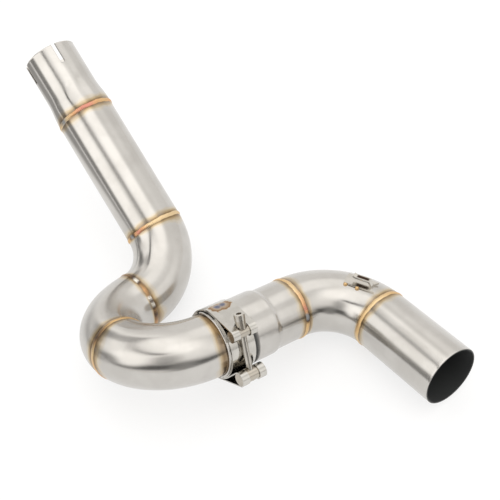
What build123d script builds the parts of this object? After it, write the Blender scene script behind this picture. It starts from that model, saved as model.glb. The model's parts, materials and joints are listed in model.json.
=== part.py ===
from build123d import *
from math import acos, cos, degrees, radians, sin
import numpy as np
import os

# Welded stainless link pipe of a motorbike exhaust, lying as it comes to rest.
# Millimetres. +Z is up, +X runs from the inlet's mouth towards the outlet's mouth,
# and the origin is on the floor under the middle of the pipe's box.
os.makedirs("parts", exist_ok=True)

# Tube stock
tube_od = 51.0
wall = 1.5
edge_break = 0.3

# Inlet sleeve: a slit neck, a smooth flare, and a short land of the tube's size
neck_od = 47.5
neck_length = 38.0
flare_length = 23.0
flare_land = 3.0
neck_slit_count = 4
neck_slit_width = 3.5
neck_slit_length = 19.0
neck_slit_turn = 8.0
slit_corner = 0.8

# The run: straights, turns of the bends, and the twist before each bend
straight_length = 118.0
bend_radius = 51.0
upper_turn = 88.0
middle_turn = 88.0
lower_turn = 88.0
rear_turn = 90.0
middle_twist = -127.0
lower_twist = -6.0
rear_twist = 197.0
rear_lead = 4.0
outlet_length = 78.0

# Slip joint: the lower elbow's spigot in the coupling's socket
socket_clearance = 0.1
socket_length = 47.0
swage_length = 6.0
coupling_tail = 25.0
spigot_length = 42.0
socket_slit_count = 2
socket_slit_width = 3.0
socket_slit_length = 24.0
socket_slit_turn = 70.0

# Weld beads
bead_width = 4.2
bead_crown = 0.7
bead_depth = 1.0
bead_root = 0.8

# Band clamp over the socket
clamp_inset = 2.3
clamp_turn = 179.3
band_width = 22.0
band_thickness = 0.9
band_clearance = 0.05
bridge_thickness = 0.8
bridge_clearance = 0.1
bridge_half_angle = 68.0
plain_pin_diameter = 8.0
plain_pin_angle = 30.0
plain_ear_angle = 8.0
threaded_pin_diameter = 10.0
threaded_pin_angle = 31.0
threaded_ear_angle = 24.0
pin_clearance = 0.1
fold_angle = 22.0
fold_seam = 0.15
spot_diameter = 3.5
spot_spacing = 5.0
spot_inset_angle = 7.0

# Clamp screw
screw_diameter = 5.0
screw_clearance = 0.2
head_diameter = 8.5
head_height = 5.0
key_across_flats = 4.0
key_depth = 2.5
spacer_diameter = 8.0
spacer_length = 6.8
spacer_play = 0.8
pin_flat_depth = 0.8
screw_end_gap = 0.5

# Spring hook: a flat base with a fishtail end, and a narrow tongue folded back over it
hook_station = 63.0
hook_turn = -86.0
hook_thickness = 1.6
hook_seat = 0.15
hook_base_width = 12.0
hook_tail = 11.5
hook_head = 14.5
fishtail_depth = 5.0
base_corner = 1.5
tongue_width = 4.5
tongue_fold = 11.5
tongue_ramp = 3.5
tongue_rise = 5.4
tongue_length = 11.0
tongue_lip = 2.5
tongue_lip_rise = 0.8
tongue_bend = 1.3
tack_radius = 1.8
tack_sink = 0.4
near_tacks = (-9.5, 0.5)
far_tacks = (-6.0, 5.0)

tube_r = tube_od / 2
bore_r = tube_r - wall
neck_r = neck_od / 2
socket_bore_r = tube_r + socket_clearance
socket_r = socket_bore_r + wall
screw_r = screw_diameter / 2
head_r = head_diameter / 2
spacer_r = spacer_diameter / 2


# Stations of the run: z_dir points along the pipe, x_dir to the inside of the next bend
def ahead(station, length):
    return Plane(station.origin + station.z_dir * length, station.x_dir, station.z_dir)


def twisted(station, angle):
    side = station.x_dir * cos(radians(angle)) + station.y_dir * sin(radians(angle))
    return Plane(station.origin, side, station.z_dir)


def bent(station, turn):
    forward = station.z_dir * cos(radians(turn)) + station.x_dir * sin(radians(turn))
    side = station.x_dir * cos(radians(turn)) - station.z_dir * sin(radians(turn))
    return Plane(station.origin + (station.x_dir - side) * bend_radius, side, forward)


inlet = Plane.XY
straight_start = ahead(inlet, neck_length + flare_length + flare_land)
upper_start = ahead(straight_start, straight_length)
middle_start = twisted(bent(upper_start, upper_turn), middle_twist)
lower_start = twisted(bent(middle_start, middle_turn), lower_twist)
socket_mouth = bent(lower_start, lower_turn)
coupling_end = ahead(socket_mouth, socket_length + swage_length + coupling_tail)
rear_start = twisted(ahead(coupling_end, rear_lead), rear_twist)
outlet_start = bent(rear_start, rear_turn)
outlet = ahead(outlet_start, outlet_length)
clamp_place = twisted(ahead(socket_mouth, clamp_inset), clamp_turn)
hook_place = twisted(bent(rear_start, hook_station), hook_turn)


# Tubes and bends
def tube(station, length):
    return extrude(station * (Circle(tube_r) - Circle(bore_r)), length)


def elbow(station, turn, section=None):
    section = section or Circle(tube_r) - Circle(bore_r)
    centre = station.origin + station.x_dir * bend_radius
    return revolve(station * section, Axis(centre, station.y_dir), turn)


def swaged_tube(first_r, first_length, swage, last_r, last_length):
    """Tube of one radius, an S-shaped swage, and a tube of another radius, all of one wall."""
    start, stop, top = first_length, first_length + swage, first_length + swage + last_length
    halfway = ((first_r + last_r) / 2, (start + stop) / 2)

    def outline(inset):
        middle = (halfway[0] - inset, halfway[1])
        return [
            Line((first_r - inset, 0), (first_r - inset, start)),
            TangentArc((first_r - inset, start), middle, tangent=(0, 1)),
            TangentArc((last_r - inset, stop), middle, tangent=(0, -1)),
            Line((last_r - inset, stop), (last_r - inset, top)),
        ]

    ends = [Line((first_r - wall, 0), (first_r, 0)), Line((last_r - wall, top), (last_r, top))]
    return revolve(Plane.XZ * make_face(outline(0) + outline(wall) + ends), Axis.Z)


def slits(count, width, length, turn):
    """Slits that run in from a mouth at z = 0, with small corner radii at their ends."""
    blank = Rectangle(width, 2 * length)
    cutter = extrude(Plane.YZ * fillet(blank.vertices(), slit_corner), tube_od)
    return [Rot(0, 0, turn + 360 / count * k) * cutter for k in range(count)]


def broken_mouth(piece, station):
    """The piece with the two sharp edges of its mouth at a station taken off."""
    rims = [edge for edge in piece.edges().filter_by(GeomType.CIRCLE)
            if abs((edge.center() - station.origin).dot(station.z_dir)) < edge_break / 2]
    return chamfer(rims, edge_break)


def make_inlet_sleeve():
    sleeve = swaged_tube(neck_r, neck_length, flare_length, tube_r, flare_land)
    cuts = slits(neck_slit_count, neck_slit_width, neck_slit_length, neck_slit_turn)
    return inlet.location * (broken_mouth(sleeve, Plane.XY) - cuts)


def make_coupling_socket():
    socket = swaged_tube(socket_r, socket_length, swage_length, tube_r, coupling_tail)
    cuts = slits(socket_slit_count, socket_slit_width, socket_slit_length, socket_slit_turn)
    return socket_mouth.location * (broken_mouth(socket, Plane.XY) - cuts)


def make_weld(station):
    """Bead with a crowned cap outside, tapering to its root between the two tube ends."""
    toe, root_r, root = bead_width / 2, tube_r - bead_depth, bead_root / 2
    section = make_face([
        ThreePointArc((tube_r, -toe), (tube_r + bead_crown, 0), (tube_r, toe)),
        Polyline((tube_r, toe), (root_r, root), (root_r, -root), (tube_r, -toe)),
    ])
    return station.location * revolve(Plane.XZ * section, Axis.Z)


# Band clamp, drawn across the socket: +X points to the middle of the gap, and z = 0 is the
# band's first edge. The band's circle is set off towards the gap, so that it clears the
# bridge there and meets the socket behind.
band_offset = (bridge_clearance + bridge_thickness) / (1 + cos(radians(bridge_half_angle)))
band_bore_r = socket_r + band_clearance + band_offset
band_middle_r = band_bore_r + band_thickness / 2
fold_middle_r = band_middle_r + band_thickness + fold_seam


def on_circle(centre, radius, angle, height=0):
    return Vector(centre) + Vector(radius * cos(radians(angle)), radius * sin(radians(angle)), height)


band_centre = Vector(band_offset, 0)


class Ear:
    """One end of the strap: it leaves the band, goes round a cross pin, and comes back onto the band."""

    def __init__(self, side, pin_diameter, pin_angle, ear_angle):
        self.side = side
        self.pin_r = pin_diameter / 2
        self.loop_middle_r = self.pin_r + pin_clearance + band_thickness / 2
        distance = (band_middle_r + self.loop_middle_r) / cos(radians(ear_angle))
        self.pin = on_circle(band_centre, distance, side * pin_angle)
        lap = degrees(acos((fold_middle_r - self.loop_middle_r) / distance))
        self.leaves = side * (pin_angle + ear_angle)
        self.lands = side * (pin_angle + lap)
        self.ends = side * (pin_angle + lap + fold_angle)

    def middle_line(self):
        """Middle of the strap's thickness, from the band to the fold's end."""
        turn = self.lands - self.leaves + self.side * 180
        pieces = [
            Line(on_circle(band_centre, band_middle_r, self.leaves),
                 on_circle(self.pin, self.loop_middle_r, self.leaves + 180)),
            CenterArc(self.pin, self.loop_middle_r, self.leaves - self.side * 180, turn),
            Line(on_circle(self.pin, self.loop_middle_r, self.lands),
                 on_circle(band_centre, fold_middle_r, self.lands)),
            CenterArc(band_centre, fold_middle_r, self.lands, self.ends - self.lands),
        ]
        return pieces


plain_ear = Ear(-1, plain_pin_diameter, plain_pin_angle, plain_ear_angle)
threaded_ear = Ear(1, threaded_pin_diameter, threaded_pin_angle, threaded_ear_angle)
pin_spacing = (plain_ear.pin - threaded_ear.pin).length
head_way = (plain_ear.pin - threaded_ear.pin) / pin_spacing
screw_line = Plane(plain_ear.pin + Vector(0, 0, band_width / 2), x_dir=(0, 0, 1), z_dir=head_way)
flat_height = plain_ear.pin_r - pin_flat_depth
head_seat = flat_height + spacer_length


def make_ear_slots():
    """Slots for the spacer and the screw, round behind the screw and open at the front of each loop."""
    corner = spacer_r + spacer_play
    slots = []
    for ear in (plain_ear, threaded_ear):
        reach = 2 * (ear.loop_middle_r + band_thickness)
        middle = ear.pin + Vector(0, 0, band_width / 2)
        front = middle + head_way.cross(Vector(0, 0, 1)) * -reach
        across = Plane(middle, x_dir=front - middle, z_dir=head_way)
        outline = Circle(corner) + Pos(reach / 2, 0) * Rectangle(reach, 2 * corner)
        slots.append(extrude(across * outline, reach, both=True))
    return slots


def make_spot_welds(ear):
    angle = ear.ends - ear.side * spot_inset_angle
    spots = []
    for shift in (-spot_spacing / 2, spot_spacing / 2):
        foot = on_circle(band_centre, band_middle_r, angle, band_width / 2 + shift)
        spot = Plane(foot, z_dir=on_circle(Vector(), 1, angle))
        spots.append(extrude(spot * Circle(spot_diameter / 2), fold_middle_r - band_middle_r))
    return spots


def make_clamp_band():
    round_the_back = 360 - threaded_ear.leaves + plain_ear.leaves
    back = CenterArc(band_centre, band_middle_r, threaded_ear.leaves, round_the_back)
    middle_line = Curve() + [back] + threaded_ear.middle_line() + plain_ear.middle_line()
    strap = extrude(trace(middle_line, band_thickness), band_width) - make_ear_slots()
    return clamp_place.location * (strap + make_spot_welds(plain_ear) + make_spot_welds(threaded_ear))


def make_clamp_bridge():
    inner = socket_r + bridge_clearance
    ring = Circle(inner + bridge_thickness) - Circle(inner)
    reach = 2 * socket_r
    corners = [on_circle(Vector(), reach, bridge_half_angle * share) for share in (-1, -0.5, 0, 0.5, 1)]
    section = ring & make_face(Polyline((0, 0), *corners, (0, 0)))
    return clamp_place.location * extrude(section, band_width)


def make_trunnion(ear, hole_r):
    pin = Pos(*ear.pin) * extrude(Circle(ear.pin_r), band_width)
    return pin - extrude(screw_line * Circle(hole_r), 2 * pin_spacing, both=True)


def make_plain_trunnion():
    """Cross pin on the head's side, with a clearance hole and a spot-faced flat for the spacer."""
    face = ahead(screw_line, flat_height) * Circle(spacer_r + screw_clearance)
    pin = make_trunnion(plain_ear, screw_r + screw_clearance)
    return clamp_place.location * (pin - extrude(face, plain_pin_diameter))


def make_threaded_trunnion():
    return clamp_place.location * make_trunnion(threaded_ear, screw_r)


def make_clamp_spacer():
    ring = Circle(spacer_r) - Circle(screw_r + screw_clearance)
    return clamp_place.location * extrude(ahead(screw_line, flat_height) * ring, spacer_length)


def make_clamp_bolt():
    """Cap screw: hexagon key socket in the head, and a shank that ends inside the threaded pin."""
    head = extrude(Circle(head_r), head_height)
    head = chamfer(head.edges().filter_by(GeomType.CIRCLE).sort_by(Axis.Z)[-1], edge_break)
    key = RegularPolygon(key_across_flats / 2, 6, major_radius=False)
    head -= Pos(0, 0, head_height - key_depth) * extrude(key, key_depth)
    shank_length = head_seat + pin_spacing + threaded_ear.pin_r - screw_end_gap
    shank = extrude(Circle(screw_r), -shank_length)
    return clamp_place.location * (ahead(screw_line, head_seat).location * (head + shank))


# Spring hook. From the side, x runs along the pipe and y stands out from its centreline.
hook_side = Plane(hook_place.origin, x_dir=hook_place.z_dir, z_dir=hook_place.y_dir)
hook_foot = Plane(hook_place.origin + hook_place.x_dir * (tube_r - hook_seat),
                  x_dir=hook_place.z_dir, z_dir=hook_place.x_dir)
rear_bend_solid = elbow(rear_start, rear_turn, Circle(tube_r))


def make_spring_hook():
    half = hook_base_width / 2
    outline = Polyline((-hook_tail, -half), (hook_head, -half), (hook_head - fishtail_depth, 0),
                       (hook_head, half), (-hook_tail, half), (-hook_tail, -half))
    plate = make_face(outline)
    plate = fillet(plate.vertices().sort_by(Axis.X)[:2], base_corner)
    base = extrude(hook_foot * plate, hook_thickness)
    low = tube_r - hook_seat + hook_thickness / 2
    high = low + tongue_rise
    crest = tongue_fold - tongue_ramp
    lip = crest - tongue_length
    points = [(0, low), (tongue_fold, low), (crest, high), (lip, high), (lip - tongue_lip, high + tongue_lip_rise)]
    strip = trace(FilletPolyline(*points, radius=tongue_bend), hook_thickness)
    tongue = extrude(hook_side * strip, tongue_width / 2, both=True)
    return base + tongue - rear_bend_solid


def make_hook_tacks(hook):
    """Small welds where the base's long edges stand over the elbow."""
    tacks = []
    for edge, places in ((hook_base_width / 2, near_tacks), (-hook_base_width / 2, far_tacks)):
        for place in places:
            middle = hook_place.location * Pos(tube_r - tack_sink, edge, place)
            tacks.append(middle * Rot(0, 90, 0) * Sphere(tack_radius))
    return [tack - hook - rear_bend_solid for tack in tacks]


inlet_weld = make_weld(straight_start)
upper_weld = make_weld(upper_start)
middle_weld = make_weld(middle_start)
lower_weld = make_weld(lower_start)
socket_weld = make_weld(coupling_end)
outlet_weld = make_weld(outlet_start)
spring_hook = make_spring_hook()

pieces = {
    "inlet_sleeve": make_inlet_sleeve() - inlet_weld,
    "inlet_weld": inlet_weld,
    "straight_tube": tube(straight_start, straight_length) - inlet_weld - upper_weld,
    "upper_weld": upper_weld,
    "upper_elbow": elbow(upper_start, upper_turn) - upper_weld - middle_weld,
    "middle_weld": middle_weld,
    "middle_elbow": elbow(middle_start, middle_turn) - middle_weld - lower_weld,
    "lower_weld": lower_weld,
    "lower_elbow": elbow(lower_start, lower_turn) + tube(socket_mouth, spigot_length) - lower_weld,
    "coupling_socket": make_coupling_socket() - socket_weld,
    "socket_weld": socket_weld,
    "rear_elbow": tube(coupling_end, rear_lead) + elbow(rear_start, rear_turn) - socket_weld - outlet_weld,
    "outlet_weld": outlet_weld,
    "outlet_tube": broken_mouth(tube(outlet_start, outlet_length), outlet) - outlet_weld,
    "spring_hook": spring_hook,
    "hook_tacks": Compound(children=make_hook_tacks(spring_hook)),
    "clamp_band": make_clamp_band(),
    "clamp_bridge": make_clamp_bridge(),
    "plain_trunnion": make_plain_trunnion(),
    "threaded_trunnion": make_threaded_trunnion(),
    "clamp_bolt": make_clamp_bolt(),
    "clamp_spacer": make_clamp_spacer(),
}


# The pose at rest: the way up that puts the mass centre lowest over the floor
def rings_that_may_touch():
    """Circles, as planes and radii, whose lowest points are the pipe's lowest points."""
    rings = [(inlet, neck_r), (ahead(inlet, neck_length), neck_r), (outlet, tube_r)]
    for start, turn in ((upper_start, upper_turn), (middle_start, middle_turn),
                        (lower_start, lower_turn), (rear_start, rear_turn)):
        rings += [(bent(start, angle), tube_r) for angle in np.linspace(0, turn, 91)]
    for station in (straight_start, upper_start, middle_start, lower_start, coupling_end, outlet_start):
        rings.append((station, tube_r + bead_crown))
    for edge in (0, band_width):
        rings.append((Plane(clamp_place * Pos(*band_centre) * Pos(0, 0, edge)), band_middle_r + band_thickness / 2))
        for ear in (plain_ear, threaded_ear):
            rings.append((Plane(clamp_place * Pos(*ear.pin) * Pos(0, 0, edge)), ear.loop_middle_r + band_thickness / 2))
    rings.append((Plane(clamp_place * ahead(screw_line, head_seat + head_height)), head_r))
    return rings


rings = rings_that_may_touch()
ring_centres = np.array([tuple(plane.origin) for plane, radius in rings])
ring_axes = np.array([tuple(plane.z_dir) for plane, radius in rings])
ring_radii = np.array([radius for plane, radius in rings])
solids = [solid for piece in pieces.values() for solid in piece.solids()]
mass_centre = sum((solid.center() * solid.volume for solid in solids), Vector()) / sum(s.volume for s in solids)


def heights_over_floor(ways_up):
    tilt = np.clip(1 - (ways_up @ ring_axes.T) ** 2, 0, 1)
    lowest = ways_up @ ring_centres.T - ring_radii * np.sqrt(tilt)
    return ways_up @ np.array(tuple(mass_centre)) - lowest.min(axis=1)


def settled(up):
    """The way up at the bottom of the dip that a first guess lies in, found by ever smaller steps."""
    step = radians(8)
    round_about = np.linspace(0, 2 * np.pi, 360, endpoint=False)[:, None]
    while step > radians(0.005):
        side = np.cross(up, (1, 0, 0))
        side /= np.linalg.norm(side)
        tries = up + step * (np.cos(round_about) * side + np.sin(round_about) * np.cross(up, side))
        tries = np.vstack([up, tries / np.linalg.norm(tries, axis=1)[:, None]])
        lowest = heights_over_floor(tries).argmin()
        up = tries[lowest]
        step = step if lowest else step / 2
    return up


hook_up = hook_place.x_dir
way_up = Vector(*settled(np.array(tuple(hook_up))))
across = outlet.origin - inlet.origin
floor = Plane(Vector(), x_dir=across - way_up * across.dot(way_up), z_dir=way_up)
box = Compound(children=[floor.location.inverse() * solid for solid in solids]).bounding_box()
rest = Pos(-box.center().X, -box.center().Y, -box.min.Z) * floor.location.inverse()

for name, piece in pieces.items():
    export_step(rest * piece, f"parts/{name}.step")

print("box", box.size, "mass centre", (rest * Pos(*mass_centre)).position, "way up", way_up)
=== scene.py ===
import json

import bpy
import numpy as np
from mathutils import Matrix, Vector


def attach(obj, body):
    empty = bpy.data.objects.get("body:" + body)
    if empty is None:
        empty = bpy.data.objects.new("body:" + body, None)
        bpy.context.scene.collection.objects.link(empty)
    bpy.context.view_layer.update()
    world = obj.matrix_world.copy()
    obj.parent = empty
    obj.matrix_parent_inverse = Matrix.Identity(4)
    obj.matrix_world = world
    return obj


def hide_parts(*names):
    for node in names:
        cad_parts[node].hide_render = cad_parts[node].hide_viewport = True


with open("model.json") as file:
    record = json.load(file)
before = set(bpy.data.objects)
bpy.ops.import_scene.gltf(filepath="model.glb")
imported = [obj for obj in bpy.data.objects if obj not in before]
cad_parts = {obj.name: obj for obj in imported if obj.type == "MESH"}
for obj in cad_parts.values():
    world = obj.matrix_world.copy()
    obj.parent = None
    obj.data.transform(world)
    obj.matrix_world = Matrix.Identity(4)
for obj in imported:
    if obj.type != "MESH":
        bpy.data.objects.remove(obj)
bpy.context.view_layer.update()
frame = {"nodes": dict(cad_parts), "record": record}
nodes = frame["nodes"]
print("frame loaded:", len(nodes), "nodes")

# The run of the pipe, from the inlet's mouth to the outlet's mouth (metres, degrees)
run = {
    "tubeRadius": 0.0255, "wall": 0.0015, "bendRadius": 0.051, "edgeBreak": 0.0003, "joinBreak": 0.00001,
    "neckRadius": 0.02375, "neckLength": 0.038, "flareLength": 0.023, "landLength": 0.003,
    "straightLength": 0.118, "upperTurn": 88, "middleTurn": 88, "lowerTurn": 88, "rearTurn": 90,
    "middleTwist": -127, "lowerTwist": -6, "rearTwist": 197, "rearLead": 0.004, "outletLength": 0.078,
    "socketRadius": 0.0271, "socketLength": 0.047, "swageLength": 0.006, "couplingTail": 0.025,
    "spigotLength": 0.042, "hookStation": 63, "hookTurn": -86,
    "clampInset": 0.0023, "clampTurn": 179.3, "clampWidth": 0.022, "bandOffset": 0.00065,
}


# A place on the run is a point, the side that the next bend turns to, and the way forward.
# ahead: point + forward * length
def ahead(place, length):
    point, side, forward = place
    return point + forward * length, side, forward


# twisted: side * cos a + (forward x side) * sin a
def twisted(place, angle):
    point, side, forward = place
    a = np.radians(angle)
    return point, side * np.cos(a) + np.cross(forward, side) * np.sin(a), forward


# bent: side and forward turn by a in their own plane, and the point moves by
# (side - new side) * bend radius
def bent(place, turn):
    point, side, forward = place
    a = np.radians(turn)
    newSide = side * np.cos(a) - forward * np.sin(a)
    return point + (side - newSide) * run["bendRadius"], newSide, forward * np.cos(a) + side * np.sin(a)


sleeveLength = run["neckLength"] + run["flareLength"] + run["landLength"]
couplingLength = run["socketLength"] + run["swageLength"] + run["couplingTail"]


# Every place of the run, walked from the inlet's mouth
def placesFrom(inlet):
    p = {"inlet": inlet}
    p["inletWeld"] = ahead(inlet, sleeveLength)
    p["upperWeld"] = ahead(p["inletWeld"], run["straightLength"])
    p["middleWeld"] = twisted(bent(p["upperWeld"], run["upperTurn"]), run["middleTwist"])
    p["lowerWeld"] = twisted(bent(p["middleWeld"], run["middleTurn"]), run["lowerTwist"])
    p["socketMouth"] = bent(p["lowerWeld"], run["lowerTurn"])
    p["socketWeld"] = ahead(p["socketMouth"], couplingLength)
    p["rearStart"] = twisted(p["socketWeld"], run["rearTwist"])
    p["rearBend"] = ahead(p["rearStart"], run["rearLead"])
    p["outletWeld"] = bent(p["rearBend"], run["rearTurn"])
    p["outlet"] = ahead(p["outletWeld"], run["outletLength"])
    p["hook"] = twisted(bent(p["rearBend"], run["hookStation"]), run["hookTurn"])
    p["clamp"] = twisted(ahead(p["socketMouth"], run["clampInset"]), run["clampTurn"])
    return p


# Square set of directions from two that aren't parallel, as the columns of a matrix
def threeWays(first, second):
    a = first / np.linalg.norm(first)
    c = np.cross(a, second)
    c = c / np.linalg.norm(c)
    return np.stack([a, np.cross(c, a), c], axis=1)


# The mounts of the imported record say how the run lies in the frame
mounts = {m["name"]: m for m in frame["record"]["mounts"]}
inletAxis = -np.array(mounts["inlet_sleeve_bore"]["axis"], float)
outletAxis = np.array(mounts["outlet_spigot"]["axis"], float)
drawn = placesFrom((np.zeros(3), np.array([1.0, 0, 0]), np.array([0, 0, 1.0])))
turnToFrame = threeWays(inletAxis, outletAxis) @ threeWays(drawn["inlet"][2], drawn["outlet"][2]).T
boreMiddle = ahead(drawn["inlet"], run["neckLength"] / 2)[0]
shiftToFrame = np.array(mounts["inlet_sleeve_bore"]["pos_m"], float) - turnToFrame @ boreMiddle
places = placesFrom((shiftToFrame, turnToFrame[:, 0], turnToFrame[:, 2]))
print("run placed, outlet at", places["outlet"][0].round(4))

# Lengths along the run at which each weld and the socket's mouth lie
bendLength = {key: np.radians(run[key]) * run["bendRadius"]
              for key in ("upperTurn", "middleTurn", "lowerTurn", "rearTurn")}
weldAt = {"inlet": sleeveLength}
weldAt["upper"] = weldAt["inlet"] + run["straightLength"]
weldAt["middle"] = weldAt["upper"] + bendLength["upperTurn"]
weldAt["lower"] = weldAt["middle"] + bendLength["middleTurn"]
mouthAt = weldAt["lower"] + bendLength["lowerTurn"]
weldAt["socket"] = mouthAt + couplingLength
weldAt["outlet"] = weldAt["socket"] + run["rearLead"] + bendLength["rearTurn"]


# New material with an empty node tree
def newMaterial(name):
    material = bpy.data.materials.new(name)
    material.use_nodes = True
    material.node_tree.nodes.clear()
    return material, material.node_tree


# Node of a kind, with its settings and the values of its named sockets
def addNode(tree, kind, **values):
    node = tree.nodes.new(kind)
    for key, value in values.items():
        if key in node.inputs:
            node.inputs[key].default_value = value
        else:
            setattr(node, key, value)
    return node


# Feeds a socket from another one, or sets it to a value
def feed(tree, socket, given):
    if isinstance(given, bpy.types.NodeSocket):
        tree.links.new(given, socket)
    elif given is not None:
        socket.default_value = given


# first (operation) second, where each is a socket or a number
def maths(tree, operation, first, second=None, third=None, clamp=False):
    node = addNode(tree, "ShaderNodeMath", operation=operation, use_clamp=clamp)
    for socket, given in zip(node.inputs, (first, second, third)):
        feed(tree, socket, given)
    return node.outputs[0]


# Smooth step of the value: first at low, last at high
def stepBetween(tree, value, low, high, first=0.0, last=1.0):
    node = addNode(tree, "ShaderNodeMapRange", interpolation_type="SMOOTHSTEP")
    for name, number in (("From Min", low), ("From Max", high), ("To Min", first), ("To Max", last)):
        node.inputs[name].default_value = number
    tree.links.new(value, node.inputs["Value"])
    return node.outputs[0]


# first * (1 - share) + second * share, where first and second are sockets or numbers
def blended(tree, share, first, second):
    node = addNode(tree, "ShaderNodeMix", data_type="FLOAT")
    for index, given in ((0, share), (2, first), (3, second)):  # a mix of numbers has them on 2 and 3
        feed(tree, node.inputs[index], given)
    return node.outputs[0]


# first * (1 - share) + second * share, where first and second are sockets or colours
def mixColour(tree, share, first, second):
    node = addNode(tree, "ShaderNodeMix", data_type="RGBA")
    for index, given in ((0, share), (6, first), (7, second)):  # a mix of colours has them on 6 and 7
        feed(tree, node.inputs[index], (*given, 1) if isinstance(given, tuple) else given)
    return node.outputs[2]


# Colour ramp with (position, colour) stops
def ramp(tree, stops, source):
    node = tree.nodes.new("ShaderNodeValToRGB")
    band = node.color_ramp
    while len(band.elements) < len(stops):
        band.elements.new(0.5)
    for element, (position, colour) in zip(band.elements, stops):
        element.position = position
        element.color = (*colour, 1)
    tree.links.new(source, node.inputs[0])
    return node.outputs[0]


# Length of a vector: the root of x^2 + y^2 + z^2
def lengthOf(tree, vector):
    node = addNode(tree, "ShaderNodeVectorMath", operation="LENGTH")
    tree.links.new(vector, node.inputs[0])
    return node.outputs["Value"]


# The object's own coordinates, which are the frame's
def objectPlace(tree):
    return addNode(tree, "ShaderNodeTexCoord").outputs["Object"]


# A value that pointValues stored on the mesh
def storedValue(tree, name):
    return addNode(tree, "ShaderNodeAttribute", attribute_name=name).outputs["Fac"]


# The material shows this shader
def showShader(tree, shader):
    tree.links.new(shader.outputs[0], addNode(tree, "ShaderNodeOutputMaterial").inputs[0])


# Every noise by its use; a scale is per metre
noises = {
    "grain": {"Detail": 3.0, "Roughness": 0.6},
    "clouds": {"Detail": 3.0, "Roughness": 0.55},
    "tint": {"Scale": 90.0, "Detail": 1.0},
    "bead": {"Scale": 170.0, "Detail": 2.0, "Roughness": 0.5},
    "spots": {"Scale": 320.0, "Detail": 2.0},
}


# Noise from 0 to 1 at a place
def noiseOn(tree, use, place, scale=None):
    node = addNode(tree, "ShaderNodeTexNoise", **noises[use])
    tree.links.new(place, node.inputs["Vector"])
    feed(tree, node.inputs["Scale"], scale)
    return node.outputs["Fac"]


# Empty shader node group with (name, kind, default) inputs and (name, kind) outputs
def newGroup(name, inputs, outputs):
    tree = bpy.data.node_groups.new(name, "ShaderNodeTree")
    for label, kind, default in inputs:
        socket = tree.interface.new_socket(label, in_out="INPUT", socket_type="NodeSocket" + kind)
        if default is not None:
            socket.default_value = default
    for label, kind in outputs:
        tree.interface.new_socket(label, in_out="OUTPUT", socket_type="NodeSocket" + kind)
    return tree, tree.nodes.new("NodeGroupInput").outputs, tree.nodes.new("NodeGroupOutput").inputs


# Group placed in a tree, with its linked inputs and its set ones
def placeGroup(tree, group, links, **values):
    node = tree.nodes.new("ShaderNodeGroup")
    node.node_tree = group
    for label, value in values.items():
        node.inputs[label].default_value = value
    for label, source in links.items():
        tree.links.new(source, node.inputs[label])
    return node.outputs


# Grain: fine scratches, as noise on a place that is stretched across them
def makeGrainGroup():
    tree, given, out = newGroup("steelGrain", [("Place", "Vector", None), ("Fineness", "Float", 1.0)],
                                [("Grain", "Float")])
    tree.links.new(noiseOn(tree, "grain", given["Place"], given["Fineness"]), out["Grain"])
    return tree


cloudSpan = (0.35, 0.65)  # noise at which the dull colour ends and the pale one begins


# Body: two near colours of bare steel in soft clouds
def makeBodyGroup():
    tree, given, out = newGroup("cloudySteel", [
        ("Place", "Vector", None), ("Clouds", "Float", 38.0), ("Pale", "Color", (0.6, 0.6, 0.6, 1)),
        ("Dull", "Color", (0.5, 0.5, 0.5, 1))], [("Colour", "Color")])
    share = stepBetween(tree, noiseOn(tree, "clouds", given["Place"], given["Clouds"]), *cloudSpan)
    tree.links.new(mixColour(tree, share, given["Dull"], given["Pale"]), out["Colour"])
    return tree


# The tint's reach and strength wander: noise over the span reachNoise gives a factor over the span reach,
# and noise over strengthNoise gives one over strength
tint = {
    "brown": (0.36, 0.26, 0.15), "gold": (0.48, 0.38, 0.24), "straw": (0.57, 0.51, 0.42),
    "steps": (0.26, 0.37, 0.51, 0.70, 1.0), "reachNoise": (0.3, 0.7), "reach": (0.86, 1.2),
    "strengthNoise": (0.25, 0.6), "strength": (0.7, 1.0),
}


# Heat tint: the share of the way out of the heat picks hot, brown, gold, straw and bare steel in turn
def makeTintGroup():
    tree, given, out = newGroup("heatTint", [
        ("Place", "Vector", None), ("Share", "Float", 1.0), ("Body", "Color", (0.6, 0.6, 0.6, 1)),
        ("Hot", "Color", (0.2, 0.15, 0.1, 1)), ("Strength", "Float", 1.0)], [("Colour", "Color")])
    noise = noiseOn(tree, "tint", given["Place"])
    share = maths(tree, "MULTIPLY", given["Share"], stepBetween(tree, noise, *tint["reachNoise"], *tint["reach"]))
    colour = given["Hot"]
    steps = tint["steps"]
    for low, high, after in zip(steps, steps[1:], (tint["brown"], tint["gold"], tint["straw"], given["Body"])):
        colour = mixColour(tree, stepBetween(tree, share, low, high), colour, after)
    amount = maths(tree, "MULTIPLY", given["Strength"],
                   stepBetween(tree, noise, *tint["strengthNoise"], *tint["strength"]))
    tree.links.new(mixColour(tree, amount, given["Body"], colour), out["Colour"])
    return tree


shared = {"grain": makeGrainGroup(), "body": makeBodyGroup(), "tint": makeTintGroup()}
print("shader groups made:", len(shared))

grainSpan = (0.2, 0.8)  # grain at which a surface is smoothest and roughest
tubeSteel = {
    "pale": (0.58, 0.56, 0.53), "dull": (0.53, 0.51, 0.48), "hot": (0.24, 0.16, 0.08),
    # boreDarkAndShade is the near-black colour of the darkened bores and of the painted shade beside the clamp
    "boreDarkAndShade": (0.028, 0.030, 0.030), "roughness": 0.20, "spread": 0.03, "anisotropy": 0.8, "clouds": 38.0,
    "tintReach": 0.0086, "scratches": (2600, 45, 1), "relief": 0.06, "reliefDepth": 0.0002,
}
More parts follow.
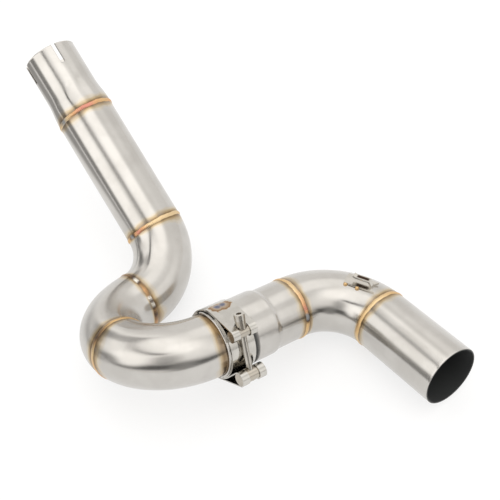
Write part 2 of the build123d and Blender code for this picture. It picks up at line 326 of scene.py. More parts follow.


# Brushed tube: scratches go round it in its own run map, heatShare tints it beside the welds, and boreDarkAndShade
# blackens the rear bores and paints shade on a strip beside the clamp's far edge
def makeTubeSteel():
    look = tubeSteel
    material, tree = newMaterial("brushedTubeSteel")
    link = tree.links.new
    runMap = addNode(tree, "ShaderNodeUVMap", uv_map="runPlace")
    stretch = addNode(tree, "ShaderNodeMapping", Scale=look["scratches"])
    link(runMap.outputs[0], stretch.inputs["Vector"])
    grain = placeGroup(tree, shared["grain"], {"Place": stretch.outputs[0]})["Grain"]
    place = objectPlace(tree)
    body = placeGroup(tree, shared["body"], {"Place": place}, Clouds=look["clouds"],
                      Pale=(*look["pale"], 1), Dull=(*look["dull"], 1))["Colour"]
    heat = storedValue(tree, "heatShare")
    tinted = placeGroup(tree, shared["tint"], {"Place": place, "Share": heat, "Body": body},
                        Hot=(*look["hot"], 1))["Colour"]
    boreDarkAndShade = storedValue(tree, "boreDarkAndShade")
    rough = stepBetween(tree, grain, *grainSpan, look["roughness"] - look["spread"],
                        look["roughness"] + look["spread"])
    bump = addNode(tree, "ShaderNodeBump", Strength=look["relief"], Distance=look["reliefDepth"])
    link(grain, bump.inputs["Height"])
    tangent = addNode(tree, "ShaderNodeTangent", direction_type="UV_MAP", uv_map="runPlace")
    shader = addNode(tree, "ShaderNodeBsdfPrincipled", Anisotropic=look["anisotropy"])
    link(mixColour(tree, boreDarkAndShade, tinted, look["boreDarkAndShade"]), shader.inputs["Base Color"])
    link(maths(tree, "SUBTRACT", 1.0, boreDarkAndShade), shader.inputs["Metallic"])
    link(maths(tree, "MAXIMUM", rough, boreDarkAndShade), shader.inputs["Roughness"])
    link(bump.outputs[0], shader.inputs["Normal"])
    link(tangent.outputs[0], shader.inputs["Tangent"])
    showShader(tree, shader)
    return material


# bright is a painted glint, used only on the middle bead
beadColours = {
    "gold": (0.70, 0.47, 0.23), "pale": (0.74, 0.56, 0.33), "orange": (0.68, 0.39, 0.20),
    "pink": (0.62, 0.27, 0.20), "brown": (0.30, 0.19, 0.10), "dark": (0.09, 0.06, 0.045),
    "grey": (0.34, 0.35, 0.36), "bright": (0.80, 0.76, 0.68), "copper": (0.50, 0.29, 0.14),
}

# Colours of each bead, as (degrees round the tube, colour) stops; each list closes on itself
beadStops = {
    "inlet": [(0, "pale"), (200, "gold"), (220, "orange"), (245, "gold"), (264, "orange"), (280, "pink"),
              (296, "pink"), (316, "orange"), (334, "pale"), (345, "grey"), (360, "pale")],
    "upper": [(0, "gold"), (90, "orange"), (235, "pale"), (300, "pale"), (316, "orange"), (328, "pink"),
              (337, "orange"), (342, "dark"), (348, "grey"), (355, "brown"), (360, "gold")],
    # the middle bead's bright stops are painted glints
    "middle": [(0, "brown"), (6, "dark"), (13, "bright"), (18, "dark"), (25, "bright"), (31, "brown"),
               (44, "copper"), (56, "brown"), (62, "dark"), (67, "bright"), (73, "bright"), (79, "dark"),
               (92, "brown"), (200, "gold"), (330, "copper"), (350, "dark"), (360, "brown")],
    "lower": [(0, "gold"), (96, "gold"), (118, "brown"), (134, "dark"), (145, "brown"), (165, "pale"),
              (220, "orange"), (360, "gold")],
    "socket": [(0, "gold"), (80, "gold"), (118, "pale"), (150, "orange"), (161, "pink"), (168, "orange"),
               (172, "grey"), (179, "grey"), (183, "dark"), (188, "gold"), (270, "pale"), (360, "gold")],
    "outlet": [(0, "gold"), (14, "pale"), (150, "orange"), (250, "gold"), (285, "pale"), (345, "gold"),
               (360, "gold")],
}
beadLook = {
    "roughness": 0.36, "smoother": {"middle": 0.26}, "sway": 0.024,  # sway is in turns
    "toeNoise": (0.38, 0.6), "toe": (0.35, 1.0),
}


# Weld metal: the way round the bead, swayed by noise, picks its colour; its toes are darker in places
# through toeShade
def makeBeadSteel(weld, stops):
    material, tree = newMaterial(weld + "BeadSteel")
    noise = noiseOn(tree, "bead", objectPlace(tree))
    runMap = addNode(tree, "ShaderNodeSeparateXYZ")
    tree.links.new(addNode(tree, "ShaderNodeUVMap", uv_map="runPlace").outputs[0], runMap.inputs[0])
    sway = maths(tree, "MULTIPLY_ADD", noise, beadLook["sway"], -beadLook["sway"] / 2)
    turns = maths(tree, "MULTIPLY_ADD", runMap.outputs[1], 1 / (2 * np.pi * run["tubeRadius"]), sway)
    colour = ramp(tree, [(at / 360, beadColours[key]) for at, key in stops], turns)
    toe = maths(tree, "MULTIPLY", storedValue(tree, "toeShade"),
                stepBetween(tree, noise, *beadLook["toeNoise"], *beadLook["toe"]))
    shader = addNode(tree, "ShaderNodeBsdfPrincipled", Metallic=1.0,
                     Roughness=beadLook["smoother"].get(weld, beadLook["roughness"]))
    tree.links.new(mixColour(tree, toe, colour, tubeSteel["hot"]), shader.inputs["Base Color"])
    showShader(tree, shader)
    return material


# Frame coordinates turned into a place's own: ((frame point - point) along side, up and forward - middle)
# * scale
def localMap(tree, source, place, middle=(0, 0, 0), scale=(1, 1, 1)):
    point, side, forward = place
    axes = np.stack([side, np.cross(forward, side), forward], axis=0)
    move = -axes @ point - np.array(middle)
    turned = addNode(tree, "ShaderNodeMapping", Location=tuple(float(v) for v in move))
    turned.inputs["Rotation"].default_value = Matrix(axes.tolist()).to_euler()
    tree.links.new(source, turned.inputs["Vector"])
    stretched = addNode(tree, "ShaderNodeVectorMath", operation="MULTIPLY")
    tree.links.new(turned.outputs[0], stretched.inputs[0])
    stretched.inputs[1].default_value = scale
    return stretched.outputs[0]


# For every small fitting: how much paler and duller its clouds are, and how its grain changes its roughness
fittingLook = {
    "pale": 1.04, "dull": 0.94, "clouds": 160.0, "smoother": 0.04, "rougher": 0.05,
    "relief": 0.07, "reliefDepth": 0.0001,
}


# Small fittings: fine grain, lightly cloudy. grainScale is per metre along the three ways of the given place.
def makeFittingSteel(name, look, place, finish=None):
    material, tree = newMaterial(name)
    link = tree.links.new
    where = objectPlace(tree)
    local = localMap(tree, where, place, scale=look["grainScale"])
    grain = placeGroup(tree, shared["grain"], {"Place": local})["Grain"]
    pale, dull = ((*(c * fittingLook[key] for c in look["colour"]), 1) for key in ("pale", "dull"))
    colour = placeGroup(tree, shared["body"], {"Place": where}, Clouds=fittingLook["clouds"],
                        Pale=pale, Dull=dull)["Colour"]
    if finish:
        colour = finish(tree, where, colour)
    rough = stepBetween(tree, grain, *grainSpan, look["roughness"] - fittingLook["smoother"],
                        look["roughness"] + fittingLook["rougher"])
    bump = addNode(tree, "ShaderNodeBump", Strength=fittingLook["relief"], Distance=fittingLook["reliefDepth"])
    link(grain, bump.inputs["Height"])
    shader = addNode(tree, "ShaderNodeBsdfPrincipled", Metallic=1.0)
    link(colour, shader.inputs["Base Color"])
    link(rough, shader.inputs["Roughness"])
    link(bump.outputs[0], shader.inputs["Normal"])
    showShader(tree, shader)
    return material


clampLook = {
    "strap": {"colour": (0.57, 0.55, 0.51), "roughness": 0.15, "grainScale": (90, 90, 2600)},
    "turned": {"colour": (0.47, 0.43, 0.37), "roughness": 0.18, "grainScale": (900, 900, 900)},
    "screw": {"colour": (0.52, 0.49, 0.44), "roughness": 0.16, "grainScale": (900, 900, 900)},
    "spotAngles": (-86.65, 96.06), "spotRadius": 0.02975, "spotGap": 0.005, "spotReach": 0.0074,
    "spotNoise": (0.3, 0.7), "spotWander": (0.87, 1.16), "spotFade": (0.82, 1.02),
    "spotTints": [(0.0, (0.13, 0.14, 0.20)), (0.26, (0.20, 0.20, 0.25)), (0.4, (0.45, 0.37, 0.30)),
                  (0.6, (0.40, 0.29, 0.19)), (0.76, (0.25, 0.14, 0.07)), (0.92, (0.42, 0.28, 0.15))],
}


# Spot welds, two on each fold of the strap: grey-blue over each spot, then pale brown inside a dark brown
# edge. The share is the distance from the nearest spot over the reach.
def tintSpots(tree, where, colour):
    look = clampLook
    nearest = None
    for angle in np.radians(look["spotAngles"]):
        for side in (-0.5, 0.5):
            middle = (run["bandOffset"] + look["spotRadius"] * np.cos(angle), look["spotRadius"] * np.sin(angle),
                      run["clampWidth"] / 2 + side * look["spotGap"])
            local = localMap(tree, where, places["clamp"], middle, (1 / look["spotReach"],) * 3)
            away = lengthOf(tree, local)
            nearest = away if nearest is None else maths(tree, "MINIMUM", nearest, away)
    noise = noiseOn(tree, "spots", where)
    share = maths(tree, "MULTIPLY", nearest, stepBetween(tree, noise, *look["spotNoise"], *look["spotWander"]))
    tinted = ramp(tree, look["spotTints"], share)
    return mixColour(tree, stepBetween(tree, share, *look["spotFade"]), tinted, colour)


hookLook = {
    "tack": {"colour": beadColours["gold"], "roughness": 0.3, "grainScale": (600, 600, 600)},
    "metal": {"colour": (0.60, 0.57, 0.52), "roughness": 0.14, "grainScale": (1200, 1200, 300)},
    # channelShade: painted shade, dark brown, along the middle of the folded tongue
    "channelShade": (0.05, 0.03, 0.018), "channelHalf": 0.0016, "channelEdge": (0.7, 1.15),
    "channelFrom": -0.003, "channelTo": 0.0085, "channelFade": 0.0015,
    "channelOver": 0.029, "channelRise": 0.0006,
}


# The hook's folded tongue gets painted shade, dark brown along its middle where the channel under it lies: the
# product of a step across it, one outward and one at each end
def shadeTongueChannel(tree, where, colour):
    look = hookLook
    local = addNode(tree, "ShaderNodeSeparateXYZ")
    tree.links.new(localMap(tree, where, places["hook"]), local.inputs[0])
    out, across, along = local.outputs
    low, high = (look["channelHalf"] * edge for edge in look["channelEdge"])
    inside = stepBetween(tree, maths(tree, "ABSOLUTE", across), low, high, 1.0, 0.0)
    for value, low, high, first, last in (
            (out, look["channelOver"], look["channelOver"] + look["channelRise"], 0.0, 1.0),
            (along, look["channelFrom"], look["channelFrom"] + look["channelFade"], 0.0, 1.0),
            (along, look["channelTo"] - look["channelFade"], look["channelTo"], 1.0, 0.0)):
        inside = maths(tree, "MULTIPLY", inside, stepBetween(tree, value, low, high, first, last))
    return mixColour(tree, inside, colour, look["channelShade"])


steel = {
    "tube": makeTubeSteel(),
    **{weld: makeBeadSteel(weld, stops) for weld, stops in beadStops.items()},
    "strap": makeFittingSteel("strapSteel", clampLook["strap"], places["clamp"], tintSpots),
    "turned": makeFittingSteel("turnedSteel", clampLook["turned"], places["clamp"]),
    "screw": makeFittingSteel("screwSteel", clampLook["screw"], places["clamp"]),
    "hook": makeFittingSteel("hookSteel", hookLook["metal"], places["hook"], shadeTongueChannel),
    "tack": makeFittingSteel("tackSteel", hookLook["tack"], places["hook"]),
}
for node, key in {
    "clamp_band": "strap", "clamp_bridge": "strap", "plain_trunnion": "turned", "threaded_trunnion": "turned",
    "clamp_spacer": "turned", "clamp_bolt": "screw", "spring_hook": "hook", "hook_tacks": "tack",
}.items():
    nodes[node].data.materials.clear()
    nodes[node].data.materials.append(steel[key])
print("materials made:", len(steel))


# Mesh piece on the root body, in place of the CAD nodes that it stands for
def addPiece(name, points, faces, material, stands):
    mesh = bpy.data.meshes.new(name)
    mesh.from_pydata(points.tolist(), [], faces)
    mesh.polygons.foreach_set("use_smooth", np.ones(len(mesh.polygons), bool))
    mesh.update()
    piece = bpy.data.objects.new(name, mesh)
    bpy.context.scene.collection.objects.link(piece)
    piece.data.materials.append(material)
    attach(piece, "root")
    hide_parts(*stands)
    return mesh


# One number for each point, under the name that a material reads
def pointValues(mesh, name, values):
    layer = mesh.attributes.new(name, "FLOAT", "POINT")
    layer.data.foreach_set("value", np.asarray(values, np.float32).reshape(-1))


# UV map in metres: u along the run, v round the tube, carried on past the seam
def addRunMap(mesh, along, around):
    columns = around.shape[1]
    loops = np.zeros(len(mesh.loops), np.int32)
    mesh.loops.foreach_get("vertex_index", loops)
    starts = np.zeros(len(mesh.polygons), np.int32)
    mesh.polygons.foreach_get("loop_start", starts)
    totals = np.zeros(len(mesh.polygons), np.int32)
    mesh.polygons.foreach_get("loop_total", totals)
    column = loops % columns
    overSeam = ((np.maximum.reduceat(column, starts) == columns - 1)
                & (np.minimum.reduceat(column, starts) == 0))
    uv = np.stack([along[loops // columns], around.reshape(-1)[loops]], axis=1)
    uv[np.repeat(overSeam, totals) & (column == 0), 1] += 2 * np.pi * run["tubeRadius"]
    layer = mesh.uv_layers.new(name="runPlace")
    layer.data.foreach_set("uv", uv.astype(np.float32).reshape(-1))


# Quads of a grid that closes on itself both ways; keep masks the cells
def gridFaces(rows, columns, keep=None):
    i, j = np.meshgrid(np.arange(rows), np.arange(columns), indexing="ij")
    i2, j2 = (i + 1) % rows, (j + 1) % columns
    quads = np.stack([i * columns + j, i * columns + j2, i2 * columns + j2, i2 * columns + j], axis=-1)
    return quads[keep] if keep is not None else quads.reshape(-1, 4)


# Points, sides and ups of the run at each length s, from (place, length, is it a bend) in a row: straight
# on it is point + forward * t, and in a bend it is as in bent, with the angle t / bend radius
def onRun(segments, s):
    points, sides, ups = (np.zeros((len(s), 3)) for k in range(3))
    start = 0.0
    for n, (place, length, isBend) in enumerate(segments):
        last = n == len(segments) - 1
        here = (s >= start if n else s > -1) & ((s < start + length) | last)
        t = (s[here] - start)[:, None]
        point, side, forward = place
        if isBend:
            a = t / run["bendRadius"]
            newSide = side * np.cos(a) - forward * np.sin(a)
            points[here] = point + (side - newSide) * run["bendRadius"]
            sides[here] = newSide
        else:
            points[here] = point + forward * t
            sides[here] = side
        ups[here] = np.cross(forward, side)
        start += length
    return points, sides, ups


# S-shaped step: two equal arcs that meet halfway, of radius (half^2 + rise^2) / 2 rise
def swageRadius(s, start, length, first, last):
    half, rise = length / 2, abs(last - first) / 2
    arc = (half ** 2 + rise ** 2) / (2 * rise)
    t = np.clip(s - start, 0, length)
    near = arc - np.sqrt(arc ** 2 - np.minimum(t, half) ** 2)
    far = 2 * rise - (arc - np.sqrt(arc ** 2 - np.minimum(length - t, half) ** 2))
    return first + np.sign(last - first) * np.where(t < half, near, far)


# Outer radius of a plain tube: the same all along
def plainRadius(s):
    return np.full(len(s), run["tubeRadius"])


# Outer radius of the sleeve: the neck's, flared to the tube's
def sleeveRadius(s):
    return swageRadius(s, run["neckLength"], run["flareLength"], run["neckRadius"], run["tubeRadius"])


# Outer radius of the coupling: the socket's, swaged down to the tube's
def socketRadius(s):
    return swageRadius(s, run["socketLength"], run["swageLength"], run["socketRadius"], run["tubeRadius"])


# Angle from a middle, between -pi and pi
def turnFrom(angle, middle):
    return (angle - middle + np.pi) % (2 * np.pi) - np.pi


# Grid of the tubes: columns round each, steps round a rim's corner, rows at a slit's end as shares of its
# corner, and the least angle between a slit's edge and the next column
tubeGrid = {"columns": 180, "rimSteps": 4, "slitRows": (-1, 0, 0.25, 0.6, 1), "slitGap": 0.008, "hair": 1e-9}


# Closed profile of a tube's wall as lengths and radii: along the outside, round the far rim, back along
# the bore, and round the near rim. Each corner is a quarter circle: break * (sin, 1 - cos).
def wallProfile(s, total, radiusAt, breaks):
    quarter = np.linspace(0, np.pi / 2, tubeGrid["rimSteps"] + 1)[1:]
    rise, fall = np.sin(quarter), 1 - np.cos(quarter)
    first, last = radiusAt(np.array([0.0, total]))
    near, far = breaks
    wall = run["wall"]
    farS = np.concatenate([total - far + far * rise, total - far * fall])
    farR = np.concatenate([last - far * fall, last - wall + far * (1 - rise)])
    nearS = np.concatenate([near - near * rise, near * fall])
    nearR = np.concatenate([first - wall + near * fall, first - near * (1 - rise)])
    return (np.concatenate([s, farS, s[::-1], nearS]),
            np.concatenate([radiusAt(s), farR, radiusAt(s[::-1]) - wall, nearR]), len(farS))


# Columns round a slit tube, with both edges of each slit among them, and the first edge of each slit
def slitAngles(slits, angle, radius):
    half = slits["width"] / 2 / radius
    middles = np.radians(slits["turn"] + 360 / slits["count"] * np.arange(slits["count"])) % (2 * np.pi)
    away = np.abs(turnFrom(angle[:, None], middles)).min(axis=1)
    edges = [(middles - half) % (2 * np.pi), (middles + half) % (2 * np.pi)]
    return np.sort(np.concatenate([angle[away > half + tubeGrid["slitGap"]], *edges])), edges[0]


# Takes each slit's cells out of the grid and gives its two columns. At its end's corners the edges draw
# together by corner - sqrt(corner^2 - into^2).
def cutSlits(slits, profileS, angle, firstEdges, radius, spread, keep):
    corner = slits["corner"]
    into = np.clip(profileS - (slits["length"] - corner), 0, corner)
    pull = (corner - np.sqrt(np.maximum(corner ** 2 - into ** 2, 0))) / radius
    inSlit = profileS <= slits["length"] + tubeGrid["hair"]
    pull = np.where(inSlit, pull, 0)
    rowsIn = inSlit & np.roll(inSlit, -1)
    columnPairs = []
    for edge in firstEdges:
        j = int(np.argmin(np.abs(angle - edge)))
        j2 = (j + 1) % len(angle)
        spread[:, j] += pull
        spread[:, j2] -= pull
        keep[np.ix_(rowsIn, [j])] = False
        columnPairs.append((j, j2))
    return columnPairs


# Walls of the slits: quads between the outside's first rows and the bore's along both edges, one face with
# the near rim's rows at the mouth, and a quad across the closed end
def slitWalls(columnPairs, count, bore, nearRim, columns):
    faces = []
    for j, j2 in columnPairs:
        for column, onward in ((j, 1), (j2, -1)):
            quads = [[i, i + 1, bore[i + 1], bore[i]] for i in range(count - 1)]
            quads.append([bore[0]] + nearRim + [0])
            faces += [[row * columns + column for row in quad[::onward]] for quad in quads]
        end = ((count - 1, j), (count - 1, j2), (bore[count - 1], j2), (bore[count - 1], j))
        faces.append([row * columns + column for row, column in end])
    return faces


boreDarkLook = {"rimFrom": 3, "rimShare": 0.8}


# The bore darkens and, weaker, the inner part of the far rim; a strip of the outside just beyond the clamp's far
# edge gets
# painted shade: depth * (half - angle from the middle) / fade * sqrt(1 - distance / width), each share from 0 to 1
def boreDarkAndShadeOn(profileS, spread, n, rimRows, boreDarkened, shadeStrip):
    dark = np.zeros(spread.shape)
    if boreDarkened:
        dark[n + boreDarkLook["rimFrom"]:n + rimRows] = boreDarkLook["rimShare"]
        dark[n + rimRows // 2:2 * n + rimRows] = 1
    if shadeStrip:
        off = np.abs(turnFrom(spread, np.radians(shadeStrip["middle"])))
        roundShare = np.clip((np.radians(shadeStrip["half"]) - off) / np.radians(shadeStrip["fade"]), 0, 1)
        at = run["clampInset"] + run["clampWidth"] + shadeStrip["beside"]
        alongShare = np.clip(1 - np.abs(profileS - at) / shadeStrip["width"], 0, 1)
        dark[:n] = (shadeStrip["depth"] * roundShare * np.sqrt(alongShare)[:, None])[:n]
    return dark


# Tube carried along the run: point + radius * (side cos a + up sin a). Slits are left out of the grid and
# get walls of their own; marks press the outside in by depth * exp(-(distance / size)^2).
def tubePiece(name, node, segments, radiusAt, startAt, rows, heat, mouths=(False, False), slits=None,
              marks=(), boreDarkened=False, shadeStrip=None):
    total = sum(length for place, length, isBend in segments)
    breaks = [run["edgeBreak"] if isMouth else run["joinBreak"] for isMouth in mouths]
    s = np.linspace(breaks[0], total - breaks[1], rows)
    if slits:
        s = np.unique(np.concatenate([s, slits["length"] - slits["corner"] * np.array(tubeGrid["slitRows"])]))
    profileS, profileR, rimRows = wallProfile(s, total, radiusAt, breaks)
    n = len(s)
    angle = np.linspace(0, 2 * np.pi, tubeGrid["columns"], endpoint=False)
    mouthRadius = radiusAt(np.zeros(1))[0]
    if slits:
        angle, firstEdges = slitAngles(slits, angle, mouthRadius)
    columns = len(angle)
    spread = np.tile(angle, (len(profileS), 1))
    keep = np.ones(spread.shape, bool)
    if slits:
        columnPairs = cutSlits(slits, profileS, angle, firstEdges, mouthRadius, spread, keep)
    radius = np.tile(profileR[:, None], (1, columns))
    for mark in marks:
        across = turnFrom(spread, np.radians(mark["angle"])) * run["tubeRadius"]
        off = profileS[:, None] - mark["at"]
        radius -= mark["depth"] * np.exp(-(off / mark["long"]) ** 2 - (across / mark["wide"]) ** 2)
    points, sides, ups = onRun(segments, profileS)
    ring = points[:, None] + radius[..., None] * (
        np.cos(spread)[..., None] * sides[:, None] + np.sin(spread)[..., None] * ups[:, None])
    faces = gridFaces(len(profileS), columns, keep).tolist()
    gridCount = len(faces)
    if slits:
        count = int((s <= slits["length"] + tubeGrid["hair"]).sum())
        bore = list(range(2 * n + rimRows - 1, n + rimRows - 1, -1))
        faces += slitWalls(columnPairs, count, bore, list(range(2 * n + rimRows, len(profileS))), columns)
    mesh = addPiece(name, ring.reshape(-1, 3), faces, steel["tube"], [node])
    mesh.polygons.foreach_set("use_smooth", np.arange(len(faces)) < gridCount)
    along = profileS + startAt
    addRunMap(mesh, along, spread * run["tubeRadius"])
    shares = [np.abs(along - at) / reach for at, reach in heat]
    pointValues(mesh, "heatShare", np.repeat(np.min(shares, axis=0), columns))
    pointValues(mesh, "boreDarkAndShade", boreDarkAndShadeOn(profileS, spread, n, rimRows, boreDarkened, shadeStrip))


# Where the named welds tint a tube, as (length along the run, reach)
def tintAt(*welds):
    return [(weldAt[weld], tubeSteel["tintReach"]) for weld in welds]


sleeve = {
    "slits": {"count": 4, "width": 0.0035, "length": 0.019, "turn": 8, "corner": 0.0008},
    "marks": [{"at": 0.039, "angle": 293, "depth": 0.00022, "long": 0.0016, "wide": 0.0022},
              {"at": 0.0375, "angle": 267, "depth": 0.00018, "long": 0.0022, "wide": 0.0014}],
}
# The tint on the spigot by the socket's mouth is partly brown tint and partly painted shade of the joint's gap
spigot = {"tintBefore": 0.0006, "tintShare": 0.75}  # place of the tint before the socket's mouth, and its size
coupling = {
    "slits": {"count": 2, "width": 0.003, "length": 0.024, "turn": 70, "corner": 0.0008},
    # shadeStrip: painted shade on the socket just beyond the clamp's far edge
    "shadeStrip": {"beside": 0.0016, "width": 0.0036, "middle": 184, "half": 52, "fade": 12, "depth": 0.97},
}
mouthTintAndShade = (mouthAt - spigot["tintBefore"], tubeSteel["tintReach"] * spigot["tintShare"])

tubePiece("inletSleeve", "inlet_sleeve", [(places["inlet"], sleeveLength, False)], sleeveRadius, startAt=0.0,
          rows=76, heat=tintAt("inlet"), mouths=(True, False), slits=sleeve["slits"], marks=sleeve["marks"])
tubePiece("straightTube", "straight_tube", [(places["inletWeld"], run["straightLength"], False)],
          plainRadius, startAt=weldAt["inlet"], rows=60, heat=tintAt("inlet", "upper"))
tubePiece("upperElbow", "upper_elbow", [(places["upperWeld"], bendLength["upperTurn"], True)],
          plainRadius, startAt=weldAt["upper"], rows=80, heat=tintAt("upper", "middle"))
tubePiece("middleElbow", "middle_elbow", [(places["middleWeld"], bendLength["middleTurn"], True)],
          plainRadius, startAt=weldAt["middle"], rows=80, heat=tintAt("middle", "lower"))
tubePiece("lowerElbow", "lower_elbow",
          [(places["lowerWeld"], bendLength["lowerTurn"], True),
           (places["socketMouth"], run["spigotLength"], False)],
          plainRadius, startAt=weldAt["lower"], rows=110, heat=tintAt("lower") + [mouthTintAndShade])
tubePiece("couplingSocket", "coupling_socket", [(places["socketMouth"], couplingLength, False)],
          socketRadius, startAt=mouthAt, rows=110, heat=tintAt("socket"), mouths=(True, False),
          slits=coupling["slits"], shadeStrip=coupling["shadeStrip"])
tubePiece("rearElbow", "rear_elbow",
          [(places["rearStart"], run["rearLead"], False), (places["rearBend"], bendLength["rearTurn"], True)],
          plainRadius, startAt=weldAt["socket"], rows=84, heat=tintAt("socket", "outlet"), boreDarkened=True)
tubePiece("outletTube", "outlet_tube", [(places["outletWeld"], run["outletLength"], False)],
          plainRadius, startAt=weldAt["outlet"], rows=50, heat=tintAt("outlet"), mouths=(False, True), boreDarkened=True)
print("tubes made")

# Waves are (size, count round the bead, share of the seed)
bead = {
    "rows": 15, "columns": 900, "toe": 0.0019, "crown": 0.00055, "sunk": 0.00003,
    "level": 0.88, "unevenness": [(0.06, 7, 1)], "sway": [(0.00018, 9, 3), (0.0001, 23, 1)],
    "pitch": 0.0015, "ripple": 0.00014, "wobble": [(0.5, 5, 1), (0.4, 11, 2)], "lag": 1.6,
    "sharpness": 1.5, "rippleSpread": 0.7,
    "under": 0.0005, "underRows": 5, "underReach": 0.8,
    "shadeFrom": 0.7, "shadeWidth": 0.3, "shadeFall": 1.5, "shade": 0.65,
    "seedStep": 1.3, "seedStart": 0.7,
}


# Sum of size * sin(count * phi + share * seed)
def waves(terms, phi, seed):
    return sum(size * np.sin(count * phi + share * seed) for size, count, share in terms)


# Crowned ring with crescent ripples: height = crown * (1 - x^2) + ripple * crest of a phase that lags
# with x^2, where x goes from toe to toe; its underside lies in the tubes' walls
def beadRing(name, node, place, material, seed):
    point, side, forward = place
    x = np.linspace(-1, 1, bead["rows"])[:, None]
    phi = np.linspace(0, 2 * np.pi, bead["columns"], endpoint=False)[None]
    flat = 0 * phi  # carries a column of values round the ring
    count = round(2 * np.pi * run["tubeRadius"] / bead["pitch"])
    phase = count * phi + waves(bead["wobble"], phi, seed) - bead["lag"] * x ** 2
    crest = (0.5 + 0.5 * np.cos(phase)) ** bead["sharpness"]
    cover = 1 - x ** 2
    height = (bead["crown"] * cover * (bead["level"] + waves(bead["unevenness"], phi, seed))
              + bead["ripple"] * crest * cover ** bead["rippleSpread"])
    underX = np.linspace(bead["underReach"], -bead["underReach"], bead["underRows"])[:, None]
    along = np.concatenate([x * bead["toe"] + waves(bead["sway"], phi, seed), underX * bead["toe"] + flat])
    radius = run["tubeRadius"] + np.concatenate([height - bead["sunk"], -bead["under"] + 0 * underX + flat])
    around = np.cos(phi)[..., None] * side + np.sin(phi)[..., None] * np.cross(forward, side)
    points = point + along[..., None] * forward + radius[..., None] * around
    faces = gridFaces(len(along), bead["columns"]).tolist()
    mesh = addPiece(name, points.reshape(-1, 3), faces, material, [node])
    share = np.clip((np.abs(x) - bead["shadeFrom"]) / bead["shadeWidth"], 0, 1) ** bead["shadeFall"]
    pointValues(mesh, "toeShade", np.concatenate([share * bead["shade"] + flat, 1 + 0 * underX + flat]))
    addRunMap(mesh, along.mean(axis=1), np.tile(phi, (len(along), 1)) * run["tubeRadius"])


for k, weld in enumerate(beadStops):
    beadRing(weld + "Bead", weld + "_weld", places[weld + "Weld"], steel[weld],
             bead["seedStep"] * k + bead["seedStart"])
print("beads made")

# Directions in the studio are (azimuth, elevation) in degrees. The table that the metal shows ends at
# a dark band, tilted as the camera stood; above it are soft boxes, with dark things between them, and
# a pale backdrop stands on the far side. Bands are (height, level); patches and fills are (direction,
# inner angle, outer angle, depth or level).
studio = {
    "tableUp": (120, 63), "top": 2.0, "camera": 1.0, "warmth": (1, 0.985, 0.965),
    "bands": [(-1.0, 0.98), (-0.36, 0.98), (-0.25, 0.14), (-0.08, 0.10), (0.04, 0.75), (0.2, 1.2),
              (0.5, 1.42), (1.0, 1.65)],
    "patches": [((-54, 43), 9, 19, 0.55), ((180, 42), 6, 14, 0.55), ((180, 18), 6, 17, 0.8),
                ((-165, 12), 4, 13, 0.8), ((-150, 5), 3, 10, 0.6)],
    "fills": [((90, -3), 62, 84, 1.0), ((98, 48), 12, 24, 1.4), ((-106, 32), 13, 29, 1.75),
              ((-33, 12), 8, 22, 0.36), ((-124, 7), 7, 17, 0.34), ((0, 72), 10, 22, 1.8), ((36, 27), 8, 18, 1.25)],
    "gapAxis": (148, 83), "gapAngle": 34.2, "gapWidth": 3.0, "gapEdge": (0.5, 1.5), "gapDepth": 1.0,
    "gapSide": (-125, 0), "gapSideEdge": (0.1, 0.25),
}


# Cosine of an angle in degrees
def cosine(degrees):
    return float(np.cos(np.radians(degrees)))


# Cosine between the direction that a ray looks in and a fixed one, (cos e cos a, cos e sin a, sin e)
def towards(tree, direction, azimuth, elevation):
    a, e = np.radians(azimuth), np.radians(elevation)
    node = addNode(tree, "ShaderNodeVectorMath", operation="DOT_PRODUCT")
    tree.links.new(direction, node.inputs[0])
    node.inputs[1].default_value = (float(np.cos(e) * np.cos(a)), float(np.cos(e) * np.sin(a)), float(np.sin(e)))
    return node.outputs["Value"]


# The studio that the metal reflects; the camera itself sees plain white
def makeWorld():
    world = bpy.data.worlds.new("studio")
    bpy.context.scene.world = world
    world.use_nodes = True
    tree = world.node_tree
    tree.nodes.clear()
    direction = addNode(tree, "ShaderNodeTexCoord").outputs["Generated"]
    # heights from -1 to 1 go on the ramp from 0 to 1, as (height + 1) / 2
    height = maths(tree, "MULTIPLY_ADD", towards(tree, direction, *studio["tableUp"]), 0.5, 0.5)
    stops = [(h * 0.5 + 0.5, (level / studio["top"],) * 3) for h, level in studio["bands"]]
    bright = ramp(tree, stops, height)
    for way, inner, outer, depth in studio["patches"]:
        near = towards(tree, direction, *way)
        bright = maths(tree, "MULTIPLY", bright,
                       stepBetween(tree, near, cosine(outer), cosine(inner), 1.0, 1 - depth))
    for way, inner, outer, level in studio["fills"]:
        share = stepBetween(tree, towards(tree, direction, *way), cosine(outer), cosine(inner))
        bright = blended(tree, share, bright, level / studio["top"])
    # the narrow gap between the upper soft box and the side one
    off = maths(tree, "SUBTRACT", towards(tree, direction, *studio["gapAxis"]), cosine(studio["gapAngle"]))
    narrow = float(np.radians(studio["gapWidth"]) * np.sin(np.radians(studio["gapAngle"])))
    keep = stepBetween(tree, maths(tree, "ABSOLUTE", off), *(narrow * edge for edge in studio["gapEdge"]),
                       1 - studio["gapDepth"], 1.0)
    onSide = stepBetween(tree, towards(tree, direction, *studio["gapSide"]), *studio["gapSideEdge"])
    bright = maths(tree, "MULTIPLY", bright, blended(tree, onSide, 1.0, keep))
    byCamera = addNode(tree, "ShaderNodeLightPath").outputs["Is Camera Ray"]
    level = blended(tree, byCamera, maths(tree, "MULTIPLY", bright, studio["top"]), studio["camera"])
    back = addNode(tree, "ShaderNodeBackground")
    tree.links.new(mixColour(tree, byCamera, studio["warmth"], (1, 1, 1)), back.inputs["Color"])
    tree.links.new(level, back.inputs["Strength"])
    tree.links.new(back.outputs[0], addNode(tree, "ShaderNodeOutputWorld").inputs[0])


floorLook = {
    "size": 6.0, "paint": 0.85, "weakPaint": 0.3, "glow": 0.70,
    "shadeAway": 0.62, "shadeTurn": -138, "shadeInner": 0.36, "shadeOuter": 0.54, "shadeGlow": 0.10,
}


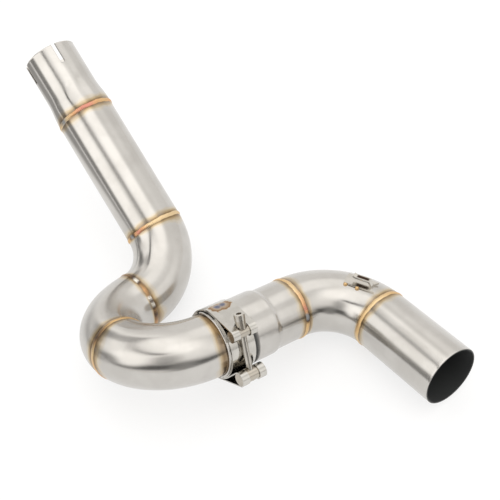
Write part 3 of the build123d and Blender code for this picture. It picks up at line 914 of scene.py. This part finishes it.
# Pale floor: plain paint for the light that falls on things; camera, glossy and transmission rays see it
# nearly white, with the object's shadow kept. The metal sees it darker beyond the inlet, in a round patch
# whose middle is shadeAway from the inlet's mouth.
def makeFloor():
    size = floorLook["size"]
    mesh = bpy.data.meshes.new("studioFloor")
    corners = [(-size, -size, 0), (size, -size, 0), (size, size, 0), (-size, size, 0)]
    mesh.from_pydata(corners, [], [(0, 1, 2, 3)])
    floor = bpy.data.objects.new("studioFloor", mesh)
    bpy.context.scene.collection.objects.link(floor)
    material, tree = newMaterial("paleFloor")
    link = tree.links.new
    path = addNode(tree, "ShaderNodeLightPath").outputs
    seen = maths(tree, "ADD", path["Is Camera Ray"], path["Is Glossy Ray"], clamp=True)
    seen = maths(tree, "ADD", seen, path["Is Transmission Ray"], clamp=True)
    paint, weak = (addNode(tree, "ShaderNodeBsdfDiffuse", Color=(*(floorLook[key],) * 3, 1))
                   for key in ("paint", "weakPaint"))
    glow = addNode(tree, "ShaderNodeEmission", Color=(1, 1, 1, 1))
    turn = np.radians(floorLook["shadeTurn"])
    middle = places["inlet"][0] + floorLook["shadeAway"] * np.array([np.cos(turn), np.sin(turn), 0])
    fromMiddle = addNode(tree, "ShaderNodeVectorMath", operation="DISTANCE")
    link(objectPlace(tree), fromMiddle.inputs[0])
    fromMiddle.inputs[1].default_value = (float(middle[0]), float(middle[1]), 0)
    shaded = stepBetween(tree, fromMiddle.outputs["Value"], floorLook["shadeInner"], floorLook["shadeOuter"],
                         floorLook["shadeGlow"], floorLook["glow"])
    link(blended(tree, path["Is Camera Ray"], shaded, floorLook["glow"]), glow.inputs["Strength"])
    both = addNode(tree, "ShaderNodeAddShader")
    link(weak.outputs[0], both.inputs[0])
    link(glow.outputs[0], both.inputs[1])
    mix = addNode(tree, "ShaderNodeMixShader")
    for socket, source in zip(mix.inputs, (seen, paint.outputs[0], both.outputs[0])):
        link(source, socket)
    showShader(tree, mix)
    floor.data.materials.append(material)


topBox = {"at": (0.1, 0.3, 1.8), "size": 1.2, "strength": 0.4}


# Area lamp over the pipe; its power is pi * area * the brightness that its face has. It gives the floor's
# shadow and stays out of the metal's reflections.
def makeLamp():
    lamp = bpy.data.lights.new("topBox", "AREA")
    lamp.size = topBox["size"]
    lamp.energy = topBox["strength"] * np.pi * topBox["size"] ** 2
    item = bpy.data.objects.new("topBox", lamp)
    item.location = topBox["at"]
    item.rotation_euler = (-Vector(topBox["at"])).to_track_quat("-Z", "Y").to_euler()
    item.visible_glossy = False
    bpy.context.scene.collection.objects.link(item)


view = {
    "at": (0.37209, -0.74802, 0.32363), "right": (-0.75793, -0.39099, 0.52218),
    "up": (-0.4095, -0.33793, -0.84742), "lens": 69.02, "sensor": 36, "nearest": 0.01,
}


# The camera's place and directions are in the run's own frame; up is squared to right
def makeCamera():
    right = turnToFrame @ np.array(view["right"])
    right = right / np.linalg.norm(right)
    up = turnToFrame @ np.array(view["up"])
    up = up - right * (up @ right)
    up = up / np.linalg.norm(up)
    camera = bpy.data.objects.new("camera", bpy.data.cameras.new("camera"))
    camera.data.lens = view["lens"]
    camera.data.sensor_width = view["sensor"]
    camera.data.clip_start = view["nearest"]
    turn = Matrix(np.stack([right, up, np.cross(right, up)], axis=1).tolist()).to_4x4()
    camera.matrix_world = Matrix.Translation(Vector(turnToFrame @ np.array(view["at"]) + shiftToFrame)) @ turn
    bpy.context.scene.collection.objects.link(camera)
    bpy.context.scene.camera = camera


makeFloor()
makeWorld()
makeLamp()
makeCamera()
bpy.context.scene.view_settings.view_transform = "Standard"
print("studio made")
